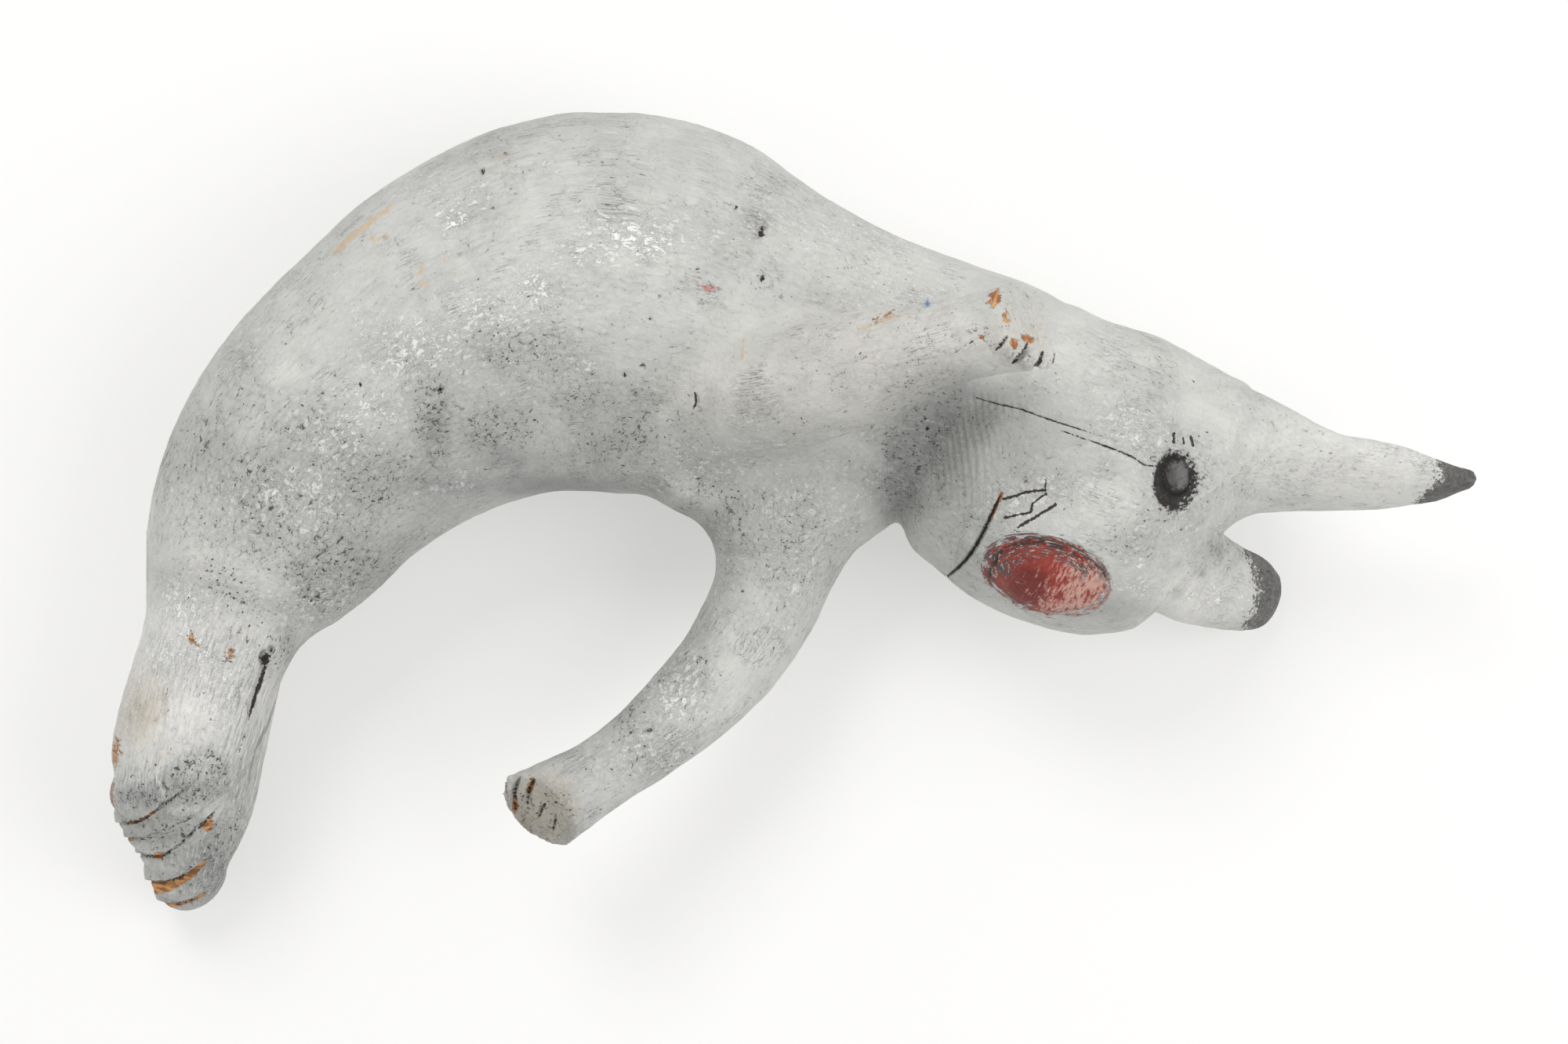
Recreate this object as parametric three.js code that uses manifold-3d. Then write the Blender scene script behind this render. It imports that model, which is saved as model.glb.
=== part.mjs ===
// A rabbit carved in one from a forked length of wood and painted, lying on its left side.
// Millimetres, +Z up. The origin is on the ground, under the middle of the rabbit's outline.
// Seen from above, the back arches along +Y, the hind feet are at -X and the ears at +X.
import * as THREE from "three";
import { mergeVertices } from "three/addons/utils/BufferGeometryUtils.js";
import Module from "manifold-3d";

const wasm = await Module();
wasm.setup();

const up = new THREE.Vector3(0, 0, 1);

// The way the head points, from the neck to the crown, and the way the toes lie.
const headLine = new THREE.Vector3(0.891, -0.454, 0);
const toeLine = [0.88, 0.48, 0];

// Sections along each limb: the middle of the section, its half width across the limb as seen from
// above, its half depth, and its turn about the limb's line in degrees.
const body = [
  { at: [-199.2, -58, 42], wide: 22.8, deep: 34 },
  { at: [-193.4, -37.6, 41], wide: 27.5, deep: 41.4 },
  { at: [-185.5, -20.2, 42.5], wide: 36.7, deep: 43 },
  { at: [-176, -3, 44.5], wide: 43, deep: 44.9 },
  { at: [-160, 20, 49], wide: 47.8, deep: 47.5 },
  { at: [-132.4, 43.6, 52], wide: 53.2, deep: 51 },
  { at: [-101.4, 61.5, 54], wide: 59.4, deep: 53.5 },
  { at: [-68, 70.2, 54.5], wide: 64, deep: 55 },
  { at: [-35, 65.8, 54], wide: 61.5, deep: 53 },
  { at: [-3, 55, 52], wide: 52, deep: 49 },
  { at: [26, 46.9, 51], wide: 45.9, deep: 44 },
  { at: [52, 40.8, 52], wide: 42.3, deep: 40 },
  { at: [74, 31.8, 54], wide: 41.8, deep: 36 },
  { at: [95, 19, 56], wide: 30, deep: 30 },
];
const head = [
  { at: [48, 28, 53], wide: 28, deep: 30 },
  { at: [58, 26.5, 55], wide: 42, deep: 40 },
  { at: [67, 26.5, 56], wide: 49, deep: 46.5 },
  { at: [84, 17, 57], wide: 52, deep: 52.5 },
  { at: [101, 10, 56], wide: 53, deep: 56.4 },
  { at: [121.5, 2.5, 57], wide: 50, deep: 51 },
  { at: [134, 0, 59], wide: 45, deep: 43 },
  { at: [138, -4, 60], wide: 32, deep: 30 },
];
const rightHindLeg = [
  { at: [-181, -12, 48], wide: 27, deep: 26 },
  { at: [-189, -32, 59], wide: 26, deep: 25 },
  { at: [-197, -53, 61.5], wide: 23.5, deep: 23 },
  { at: [-202.5, -71, 61.5], wide: 24, deep: 21 },
  { at: [-207, -87, 61], wide: 22, deep: 18.5 },
  { at: [-208.5, -97, 60], wide: 17, deep: 14 },
];
const leftHindLeg = [
  { at: [-188, -28, 27], wide: 20, deep: 21 },
  { at: [-197, -54, 26], wide: 21, deep: 22 },
  { at: [-200.8, -73, 26], wide: 20.8, deep: 22.5 },
  { at: [-204.3, -89, 27], wide: 21.3, deep: 22 },
  { at: [-206.2, -102, 28], wide: 20.4, deep: 20 },
  { at: [-207, -114, 29], wide: 17, deep: 16 },
  { at: [-207.5, -124, 29], wide: 12, deep: 12 },
];
const rightForeleg = [
  { at: [-25, 37, 78], wide: 22, deep: 23 },
  { at: [2.5, 40.5, 102], wide: 20.5, deep: 21 },
  { at: [27, 46.5, 123], wide: 17.5, deep: 17.5 },
  { at: [49, 52, 139], wide: 13.5, deep: 14.5 },
  { at: [60, 54.5, 147], wide: 13.2, deep: 13 },
  { at: [70, 56.5, 153.5], wide: 13.6, deep: 12 },
  { at: [86, 60, 164], wide: 13.6, deep: 12 },
];
const leftForeleg = [
  { at: [-1, 14, 48], wide: 44, deep: 36 },
  { at: [-3, 1, 47], wide: 37, deep: 31 },
  { at: [-4.5, -10.5, 46], wide: 25.5, deep: 26 },
  { at: [-6.4, -20, 46], wide: 20.6, deep: 22 },
  { at: [-10.9, -33, 47.5], wide: 18.4, deep: 19.5 },
  { at: [-24, -54, 51.5], wide: 16.8, deep: 16.5 },
  { at: [-46, -75, 59], wide: 13.8, deep: 14.2 },
  { at: [-65, -88.5, 67], wide: 12.3, deep: 12.8 },
  { at: [-78, -96, 73], wide: 13.8, deep: 12.5 },
  { at: [-96, -106, 81], wide: 16.5, deep: 12.5 },
];
const rightEar = [
  { at: [134, 17, 65], wide: 32, deep: 29, roll: 50 },
  { at: [144, 18.5, 66], wide: 28.5, deep: 23, roll: 50 },
  { at: [156.5, 17.5, 67], wide: 24, deep: 15.5, roll: 50 },
  { at: [168, 14.5, 68], wide: 20.5, deep: 11, roll: 50 },
  { at: [180, 12.3, 68.5], wide: 17.5, deep: 8.5, roll: 50 },
  { at: [190, 11.7, 69], wide: 16, deep: 7.5, roll: 50 },
  { at: [202.5, 10.7, 69], wide: 13, deep: 6.5, roll: 50 },
  { at: [214.5, 9.7, 69], wide: 8.7, deep: 5, roll: 50 },
  { at: [223.5, 10.3, 69], wide: 4, deep: 3, roll: 50 },
];
const leftEar = [
  { at: [128, -16, 46], wide: 19, deep: 15 },
  { at: [138, -22, 37], wide: 17, deep: 11 },
  { at: [149, -26, 28], wide: 15, deep: 9 },
  { at: [158.5, -29, 19], wide: 13.5, deep: 7 },
  { at: [163.5, -31, 13], wide: 11, deep: 6 },
];

// How far along a limb, as a share of its length, the line is read to turn a section.
const stretch = 0.08;

// The nose, a mound on the front of the face, and the eyes, balls in shallow hollows.
const nose = { at: [83, -18, 91.5], facing: [-0.3, -0.55, 0.78], size: [21.5, 17, 9] };
const eyes = [
  { at: [123.5, 9.2, 107], facing: [0.35, 0.02, 0.94] },
  { at: [89, -39, 40], facing: [-0.15, -0.93, -0.33] },
];
const eyeSize = { hollow: [9.5, 8, 3], ball: [5.6, 4.8, 3], sunk: 2 };

// The web of wood left in the fork between the belly and the left foreleg.
const web = { at: [-38.6, 8.5, 48], facing: [0, 0, 1], along: [0.87, -0.49, 0], size: [22, 8, 30] };

// The toes of the hind feet, thick petals stacked from the right foot's outer toe to the left's.
const toes = [
  { at: [-210.3, -89, 67], size: [19.5, 12, 10] },
  { at: [-210.3, -96, 58], size: [19.5, 12, 10] },
  { at: [-209.5, -101.5, 48.5], size: [19.5, 13, 10] },
  { at: [-208.3, -110, 38], size: [17.5, 14, 10] },
  { at: [-208.5, -119.5, 28], size: [16, 14, 10] },
  { at: [-209.5, -126.5, 18.5], size: [13.5, 12, 10] },
];
const toeFacing = [-0.1, 0.3, 0.95];

// Slits cut with the edge of the knife: the mouth, and the parting of the hind legs.
const slits = [
  { at: [75.5, 1, 70], facing: [0.79, -0.56, 0.26], along: [0, 0, 1], size: [34, 34, 1.6] },
  { at: [-177.5, -65, 68], facing: [-0.45, 0.03, 0.89], along: [-0.19, -0.98, 0], size: [17, 8, 1.6] },
];

// The forefeet: the sole, sawn off flat, and the lines between the toes.
const forefeet = [
  {
    sole: { at: [73.7, 56.6, 153.3], facing: [0.7, 0.34, 0.63] },
    lines: { facing: [0.74, -0.67, 0], along: [-0.41, -0.54, 0.73], size: [5, 3.5, 0.9] },
    spots: [[65.5, 52, 164.6], [69.9, 49, 161.5], [75.6, 47.4, 156.4]],
  },
  {
    sole: { at: [-85, -100, 74.6], facing: [-0.53, -0.52, 0.67] },
    lines: { facing: [1, 0.1, 0], along: [0, -0.8, -0.6], size: [5.5, 3, 0.8] },
    spots: [[-91.9, -93.6, 74.1], [-87.2, -92.7, 78.5], [-82.9, -98.8, 77.2], [-79, -103.3, 76.8]],
  },
];

// A closed mesh as a solid that can be joined and cut. Faces that shrank to a line are dropped.
function solid(geometry) {
  geometry.deleteAttribute("normal");
  geometry.deleteAttribute("uv");
  const merged = mergeVertices(geometry, 1e-4);
  const corners = merged.index.array;
  const triVerts = [];
  for (let i = 0; i < corners.length; i += 3) {
    const [a, b, c] = corners.slice(i, i + 3);
    if (a !== b && b !== c && c !== a) triVerts.push(a, b, c);
  }
  const vertProperties = merged.attributes.position.array;
  return new wasm.Manifold(
    new wasm.Mesh({ numProp: 3, vertProperties, triVerts: Uint32Array.from(triVerts) }),
  );
}

// A limb: a capsule bent along the line through its sections and swelled to their sizes. Its
// sections face along a stretch of that line, or all one way if a way is given.
function limb(sections, { sides, rings, domes, domeRings = 4, facing }) {
  const line = new THREE.CatmullRomCurve3(sections.map(({ at }) => new THREE.Vector3(...at)));
  const sizes = sections.map(({ wide, deep, roll = 0 }) => new THREE.Vector3(wide, deep, roll));
  const size = new THREE.CatmullRomCurve3(sizes, false, "catmullrom");
  const geometry = new THREE.CapsuleGeometry(1, 1, domeRings, sides, rings);
  const position = geometry.attributes.position;
  const corner = new THREE.Vector3();
  for (let i = 0; i < position.count; i++) {
    corner.fromBufferAttribute(position, i);
    const along = THREE.MathUtils.clamp(corner.y + 0.5, 0, 1);
    const beyond = corner.y + 0.5 - along;
    const next = line.getPoint(Math.min(along + stretch, 1));
    const ahead = facing ?? next.sub(line.getPoint(Math.max(along - stretch, 0))).normalize();
    const { x: wide, y: deep, z: roll } = size.getPoint(along);
    const across = new THREE.Vector3()
      .crossVectors(up, ahead)
      .normalize()
      .applyAxisAngle(ahead, THREE.MathUtils.degToRad(roll));
    const under = new THREE.Vector3().crossVectors(across, ahead);
    const spot = line
      .getPoint(along)
      .addScaledVector(ahead, beyond * (beyond < 0 ? domes[0] : domes[1]))
      .addScaledVector(across, corner.x * wide)
      .addScaledVector(under, corner.z * deep);
    position.setXYZ(i, spot.x, spot.y, spot.z);
  }
  return solid(geometry);
}

// Turns a shape that faces +Z, with its length along +X, to face another way at a place, with its
// length as near as can be to a given line.
function place(geometry, { at, facing, along = headLine }) {
  const out = new THREE.Vector3(...facing).normalize();
  const side = new THREE.Vector3().crossVectors(out, new THREE.Vector3(...along)).normalize();
  const length = new THREE.Vector3().crossVectors(side, out);
  geometry.applyMatrix4(new THREE.Matrix4().makeBasis(length, side, out));
  geometry.translate(...at);
  return geometry;
}

// A mound, or if thin the lens-shaped cut that a knife leaves.
function mound({ size, ...spot }, around = 18, rings = 6) {
  const ball = new THREE.SphereGeometry(1, around, rings);
  ball.rotateX(Math.PI / 2);
  ball.scale(...size);
  return solid(place(ball, spot));
}

function foreleg(sections, { sole, lines, spots }, shape) {
  const sawCut = new THREE.BoxGeometry(90, 90, 60);
  sawCut.translate(0, 0, 30);
  let leg = limb(sections, shape).subtract(solid(place(sawCut, sole)));
  for (const at of spots) leg = leg.subtract(mound({ at, ...lines }, 10, 4));
  return leg;
}

const limbs = [
  limb(head, { sides: 28, rings: 16, domes: [8, 7], facing: headLine }),
  limb(rightHindLeg, { sides: 18, rings: 10, domes: [10, 6] }),
  limb(leftHindLeg, { sides: 18, rings: 12, domes: [10, 6] }),
  foreleg(rightForeleg, forefeet[0], { sides: 18, rings: 16, domes: [16, 4] }),
  foreleg(leftForeleg, forefeet[1], { sides: 20, rings: 20, domes: [16, 4] }),
  limb(rightEar, { sides: 16, rings: 14, domes: [10, 4] }),
  limb(leftEar, { sides: 16, rings: 8, domes: [8, 5] }),
  ...toes.map((toe) => mound({ facing: toeFacing, along: toeLine, ...toe })),
  mound(nose, 20, 10),
  mound(web),
];
let carving = limb(body, { sides: 28, rings: 36, domes: [12, 10] });
for (const piece of limbs) carving = carving.add(piece);

for (const slit of slits) carving = carving.subtract(mound(slit));
for (const { at, facing } of eyes) {
  const hollow = mound({ at, facing, size: eyeSize.hollow }, 14, 8);
  const sunk = new THREE.Vector3(...facing).setLength(-eyeSize.sunk).add(new THREE.Vector3(...at));
  const ball = mound({ at: sunk, facing, size: eyeSize.ball }, 12, 8);
  carving = carving.subtract(hollow).add(ball);
}

// The ground takes three small flats off the hip, the flank and the cheek.
const ground = new THREE.BoxGeometry(600, 400, 40);
ground.translate(0, 0, -20);
carving = carving.subtract(solid(ground));

// Back from a solid to a mesh.
const { numProp, vertProperties, triVerts } = carving.getMesh();
const geometry = new THREE.BufferGeometry();
geometry.setAttribute("position", new THREE.BufferAttribute(vertProperties, numProp));
geometry.setIndex(new THREE.BufferAttribute(triVerts, 1));
geometry.computeBoundingBox();
const middle = geometry.boundingBox.getCenter(new THREE.Vector3());
geometry.translate(-middle.x, -middle.y, 0);
geometry.computeVertexNormals();

const paintedWood = new THREE.MeshStandardMaterial({ color: 0xbcbebc, roughness: 0.75, metalness: 0 });
const rabbit = new THREE.Mesh(geometry, paintedWood);
rabbit.name = "rabbit";

const carvedRabbit = new THREE.Group();
carvedRabbit.add(rabbit);
export default carvedRabbit;
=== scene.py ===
import bmesh
import bpy
import numpy as np
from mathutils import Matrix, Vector


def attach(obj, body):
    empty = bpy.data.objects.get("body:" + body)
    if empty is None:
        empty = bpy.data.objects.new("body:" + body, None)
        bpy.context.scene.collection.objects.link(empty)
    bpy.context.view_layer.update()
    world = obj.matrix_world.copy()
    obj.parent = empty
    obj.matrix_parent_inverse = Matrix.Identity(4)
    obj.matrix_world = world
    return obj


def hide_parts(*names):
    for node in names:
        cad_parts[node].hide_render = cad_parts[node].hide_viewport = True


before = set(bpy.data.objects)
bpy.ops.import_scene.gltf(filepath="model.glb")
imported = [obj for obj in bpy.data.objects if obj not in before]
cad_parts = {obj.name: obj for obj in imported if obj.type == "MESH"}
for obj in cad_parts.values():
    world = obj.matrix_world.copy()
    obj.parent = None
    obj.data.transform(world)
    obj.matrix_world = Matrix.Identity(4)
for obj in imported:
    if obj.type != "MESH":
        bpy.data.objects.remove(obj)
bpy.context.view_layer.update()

# A rabbit carved in one from a forked length of wood and painted grey, lying on its left side.
# Shapes are worked out in millimetres, and go into the mesh in metres.
mm = 0.001
middle = np.array([-0.493, -2.017, 0])  # the middle of the carving's outline on the ground

# The picture, taken from straight above. Marks below are placed by their pixel in it.
camera = {"eye": (-2.5, -1.98, 1305), "lens": 85.2, "sensor": 36, "picture": (2000, 1331), "clipEnd": 20}


def setCamera():
    made = bpy.data.cameras.new("camera")
    made.lens = camera["lens"]
    made.sensor_width = camera["sensor"]
    made.clip_end = camera["clipEnd"]
    holder = bpy.data.objects.new("camera", made)
    holder.location = np.array(camera["eye"]) * mm
    bpy.context.collection.objects.link(holder)
    bpy.context.scene.camera = holder


# Where points fall in the picture, in pixels.
def seenAt(points):
    away = camera["eye"][2] - points[:, 2]
    scale = camera["lens"] / camera["sensor"] * camera["picture"][0]
    across = camera["picture"][0] / 2 + (points[:, 0] - camera["eye"][0]) / away * scale
    down = camera["picture"][1] / 2 - (points[:, 1] - camera["eye"][1]) / away * scale
    return np.stack([across, down], 1)


# The limbs, as sections: x, y, z of the middle, half width and half depth. The domes reach that far
# beyond the end sections. A limb's sections are turned about its line, in degrees.
headLine = (0.891, -0.454, 0)
limbs = {
    "body": {
        "sections": [
            (-199.2, -58, 42, 22.8, 34), (-193.4, -37.6, 41, 27.5, 41.4), (-185.5, -20.2, 42.5, 36.7, 43),
            (-176, -3, 44.5, 43, 44.9), (-160, 20, 49, 47.8, 47.5), (-132.4, 43.6, 52, 53.2, 51),
            (-101.4, 61.5, 54, 59.4, 53.5), (-68, 70.2, 54.5, 64, 55), (-35, 65.8, 54, 61.5, 53),
            (-3, 55, 52, 52, 49), (26, 46.9, 51, 45.9, 44), (52, 40.8, 52, 42.3, 40),
            (74, 31.8, 54, 41.8, 36), (95, 19, 56, 30, 30),
        ],
        "domes": (12, 10),
    },
    "head": {
        "sections": [
            (48, 28, 53, 28, 30), (58, 26.5, 55, 42, 40), (67, 26.5, 56, 49, 46.5), (84, 17, 57, 52, 52.5),
            (101, 10, 56, 53, 56.4), (121.5, 2.5, 57, 50, 51), (134, 0, 59, 45, 43), (138, -4, 60, 32, 30),
        ],
        "domes": (8, 7),
        "facing": headLine,
    },
    "rightHindLeg": {
        "sections": [
            (-181, -12, 48, 27, 26), (-189, -32, 59, 26, 25), (-197, -53, 61.5, 23.5, 23),
            (-202.5, -71, 61.5, 24, 21), (-207, -87, 61, 22, 18.5), (-208.5, -97, 60, 17, 14),
        ],
        "domes": (10, 6),
    },
    "leftHindLeg": {
        "sections": [
            (-188, -28, 27, 20, 21), (-197, -54, 26, 21, 22), (-200.8, -73, 26, 20.8, 22.5),
            (-204.3, -89, 27, 21.3, 22), (-206.2, -102, 28, 20.4, 20), (-207, -114, 29, 17, 16),
            (-207.5, -124, 29, 12, 12),
        ],
        "domes": (10, 6),
    },
    "rightForeleg": {
        "sections": [
            (-25, 37, 78, 22, 23), (2.5, 40.5, 102, 20.5, 21), (27, 46.5, 123, 17.5, 17.5),
            (49, 52, 139, 13.5, 14.5), (60, 54.5, 147, 13.2, 13), (70, 56.5, 153.5, 13.6, 12),
            (86, 60, 164, 13.6, 12),
        ],
        "domes": (16, 4),
        "sole": {"at": (73.7, 56.6, 153.3), "facing": (0.7, 0.34, 0.63)},
    },
    "leftForeleg": {
        "sections": [
            (-1, 14, 48, 44, 36), (-3, 1, 47, 37, 31), (-4.5, -10.5, 46, 25.5, 26),
            (-6.4, -20, 46, 20.6, 22), (-10.9, -33, 47.5, 18.4, 19.5), (-24, -54, 51.5, 16.8, 16.5),
            (-46, -75, 59, 13.8, 14.2), (-65, -88.5, 67, 12.3, 12.8), (-78, -96, 73, 13.8, 12.5),
            (-96, -106, 81, 16.5, 12.5),
        ],
        "domes": (16, 4),
        "sole": {"at": (-85, -100, 74.6), "facing": (-0.53, -0.52, 0.67)},
    },
    "rightEar": {
        "sections": [
            (134, 17, 65, 32, 29), (144, 18.5, 66, 28.5, 23), (156.5, 17.5, 67, 24, 15.5),
            (168, 14.5, 68, 20.5, 11), (180, 12.3, 68.5, 17.5, 8.5), (190, 11.7, 69, 16, 7.5),
            (202.5, 10.7, 69, 13, 6.5), (214.5, 9.7, 69, 8.7, 5), (223.5, 10.3, 69, 4, 3),
        ],
        "domes": (10, 4),
        "turn": 50,
    },
    "leftEar": {
        "sections": [
            (128, -16, 46, 19, 15), (138, -22, 37, 17, 11), (149, -26, 28, 15, 9), (158.5, -29, 19, 13.5, 7),
            (163.5, -31, 13, 11, 6),
        ],
        "domes": (8, 5),
    },
}

# Mounds on the limbs: six toes of the hind feet, the nose, and the web of wood under the belly.
# Each has its middle, its half sizes, the way it faces and the way it lies.
toeLie = (-0.1, 0.3, 0.95), (0.88, 0.48, 0)
mounds = [
    ((-210.3, -89, 67), (19.5, 12, 10), *toeLie),
    ((-210.3, -96, 58), (19.5, 12, 10), *toeLie),
    ((-209.5, -101.5, 48.5), (19.5, 13, 10), *toeLie),
    ((-208.3, -110, 38), (17.5, 14, 10), *toeLie),
    ((-208.5, -119.5, 28), (16, 14, 10), *toeLie),
    ((-209.5, -126.5, 18.5), (13.5, 12, 10), *toeLie),
    ((83, -18, 91.5), (21.5, 17, 9), (-0.3, -0.55, 0.78), headLine),
    ((-38.6, 8.5, 48), (22, 8, 30), (0, 0, 1), (0.87, -0.49, 0)),
]

# How the carving is skinned: voxel and lowest point in millimetres.
skin = {
    "voxel": 1.05, "lowest": 0.02, "triangles": 190000, "seed": 7,
    "smoothings": 4, "smoothed": 0.5,  # rounds all over, and the share of the way in one
    "outward": 0.8, "inward": 0.15,  # the same in a joint
    "split": 0.2,  # faces are halved where the detail is above this
    "kept": 0.97,  # how firmly detail is kept when the faces are thinned
}
# Where joints are rubbed smooth: the middle, the reach in millimetres and the rounds.
joints = [
    ((-16, 42, 98), 56, 260),  # right shoulder
    ((0, 6, 92), 52, 260),  # left shoulder
    ((-12, 10, 20), 40, 120),  # chest, on the floor's side
    ((-42, 2, 48), 36, 90),  # web under the belly
    ((-188, -28, 92), 36, 160),  # right hip
    ((-188, -34, 25), 30, 60),  # left hip
    ((50, 30, 92), 50, 240),  # neck
    ((45, 10, 60), 36, 80),  # throat
    ((70, 60, 60), 40, 120),  # nape
    ((138, 20, 92), 34, 160),  # root of the right ear
    ((140, 6, 62), 24, 24),  # crown, between the ears
    ((132, -22, 40), 20, 8),  # root of the left ear
]


def unit(v):
    v = np.asarray(v, float)
    return v / np.linalg.norm(v, axis=-1, keepdims=True)


def ease(low, high, x):
    t = np.clip((x - low) / (high - low), 0, 1)
    return t * t * (3 - 2 * t)


# A smooth curve through points: cubics with knots spaced by the root of the distance, or evenly.
def curveThrough(points, along, even=False):
    points = np.asarray(points, float)
    p = np.vstack([2 * points[0] - points[1], points, 2 * points[-1] - points[-2]])
    place = np.clip(along, 0, 1) * (len(points) - 1)
    k = np.minimum(place.astype(int), len(points) - 2)
    w = (place - k)[:, None]
    a, b, c, d = p[k], p[k + 1], p[k + 2], p[k + 3]
    gaps = np.linalg.norm(np.diff(p, axis=0), axis=1)[:, None]
    knots = np.ones_like(gaps) if even else np.sqrt(gaps)
    before, here, after = knots[k], knots[k + 1], knots[k + 2]
    out = ((b - a) / before - (c - a) / (before + here) + (c - b) / here) * here
    into = ((c - b) / here - (d - b) / (here + after) + (d - c) / after) * here
    return b + out * w + (3 * (c - b) - 2 * out - into) * w**2 + (2 * (b - c) + out + into) * w**3


# A limb's line at places along it: the point, the half sizes, and the three ways there.
def limbLine(limb, along):
    sections = np.array(limb["sections"], float)
    spot = curveThrough(sections[:, :3], along) - middle
    wide, deep = curveThrough(sections[:, 3:], along, even=True).T
    if "facing" in limb:
        ahead = np.tile(unit(limb["facing"]), (len(along), 1))
    else:
        near = 0.08
        ahead = unit(curveThrough(sections[:, :3], along + near) - curveThrough(sections[:, :3], along - near))
    flat = unit(np.cross((0, 0, 1), ahead))
    turned = np.radians(limb.get("turn", 0))
    across = flat * np.cos(turned) + np.cross(ahead, flat) * np.sin(turned)
    return spot, wide[:, None], deep[:, None], ahead, across, np.cross(across, ahead)


# A limb's skin on a grid: rows run along its line, with a dome beyond each end, and columns go round.
def limbSkin(limb, rows=150, columns=72, domeRows=14):
    rise = np.linspace(0, np.pi / 2, domeRows + 1)
    beyond = np.concatenate([-np.cos(rise[:-1]), np.zeros(rows), np.sin(rise[1:])])
    along = np.concatenate([np.zeros(domeRows), np.linspace(0, 1, rows), np.ones(domeRows)])
    spot, wide, deep, ahead, across, under = limbLine(limb, along)
    reach = np.where(beyond < 0, limb["domes"][0], limb["domes"][1])[:, None]
    ring = np.sqrt(np.maximum(1 - beyond**2, 0))[:, None, None]
    spot = spot + ahead * beyond[:, None] * reach
    angle = np.linspace(0, 2 * np.pi, columns, endpoint=False)[None, :, None]
    grid = spot[:, None] + ring * (
        (across * wide)[:, None] * np.cos(angle) + (under * deep)[:, None] * np.sin(angle)
    )
    if "sole" in limb:  # what is beyond the saw cut slides back along the limb onto it
        sole = unit(limb["sole"]["facing"])
        past = (grid - (np.array(limb["sole"]["at"]) - middle)) @ sole
        slide = past / np.maximum((ahead @ sole)[:, None], 0.3)
        grid = grid - np.maximum(slide, 0)[..., None] * ahead[:, None]
    return grid


# A mound's skin: a ball on a grid, stretched along its length, its width and the way it faces.
def moundSkin(at, size, facing, lies, rows=40, columns=48):
    out = unit(facing)
    side = unit(np.cross(out, lies))
    length = np.cross(side, out)
    rise = np.linspace(-np.pi / 2, np.pi / 2, rows)[:, None, None]
    angle = np.linspace(0, 2 * np.pi, columns, endpoint=False)[None, :, None]
    long, wide, high = size
    ring = length * long * np.cos(angle) + side * wide * np.sin(angle)
    return np.array(at) - middle + ring * np.cos(rise) + out * high * np.sin(rise)


# Points and faces of a closed grid. The first and last rows are shrunk to one point each.
def closeGrid(grid, first=0):
    rows, columns = grid.shape[:2]
    points = np.vstack([grid[0, :1], grid[1:-1].reshape(-1, 3), grid[-1, :1]])
    a = np.arange(rows - 3)[:, None] * columns + np.arange(columns)[None] + 1
    b = np.arange(rows - 3)[:, None] * columns + (np.arange(columns)[None] + 1) % columns + 1
    quads = np.stack([a, b, b + columns, a + columns], -1).reshape(-1, 4) + first
    ring = np.arange(columns) + 1
    start = np.stack([np.zeros(columns, int), np.roll(ring, -1), ring], 1) + first
    last = (rows - 3) * columns
    end = np.stack([np.full(columns, len(points) - 1), ring + last, np.roll(ring, -1) + last], 1) + first
    return points, quads.tolist() + start.tolist() + end.tolist()


def meshObject(name, points, faces):
    mesh = bpy.data.meshes.new(name)
    mesh.from_pydata((points * mm).tolist(), [], faces)
    made = bpy.data.objects.new(name, mesh)
    bpy.context.collection.objects.link(made)
    return made


def withModifier(piece, kind, **settings):
    bpy.context.view_layer.objects.active = piece
    made = piece.modifiers.new(kind.lower(), kind)
    for name, value in settings.items():
        setattr(made, name, value)
    bpy.ops.object.modifier_apply(modifier=made.name)


def rowsOf(items, name, wide, kind=np.float32):
    flat = np.empty(len(items) * wide, kind)
    items.foreach_get(name, flat)
    return flat.reshape(-1, wide)


def pointsOf(mesh):
    return rowsOf(mesh.vertices, "co", 3).astype(float) / mm


def normalsOf(mesh):
    return rowsOf(mesh.vertex_normals, "vector", 3).astype(float)


def putPoints(mesh, points):
    mesh.vertices.foreach_set("co", (points * mm).astype(np.float32).ravel())
    mesh.update()


# The mean of each point's neighbours.
def neighbourMean(values, edges, count):
    ends = np.concatenate([edges[:, 0], edges[:, 1]])
    others = np.concatenate([edges[:, 1], edges[:, 0]])
    return np.stack([np.bincount(ends, column[others], len(values)) for column in values.T], 1) / count


# Chosen points, and a table of each one's neighbours, its rows filled up with the point itself.
def neighbourTable(edges, chosen):
    ends = np.concatenate([edges, edges[:, ::-1]])
    ends = ends[chosen[ends[:, 0]]]
    ends = ends[np.argsort(ends[:, 0], kind="stable")]
    owner, start = np.unique(ends[:, 0], return_index=True)
    place = np.arange(len(ends)) - np.repeat(start, np.diff(np.append(start, len(ends))))
    table = np.repeat(owner[:, None], place.max() + 1, 1)
    table[np.searchsorted(owner, ends[:, 0]), place] = ends[:, 1]
    return owner, table


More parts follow.
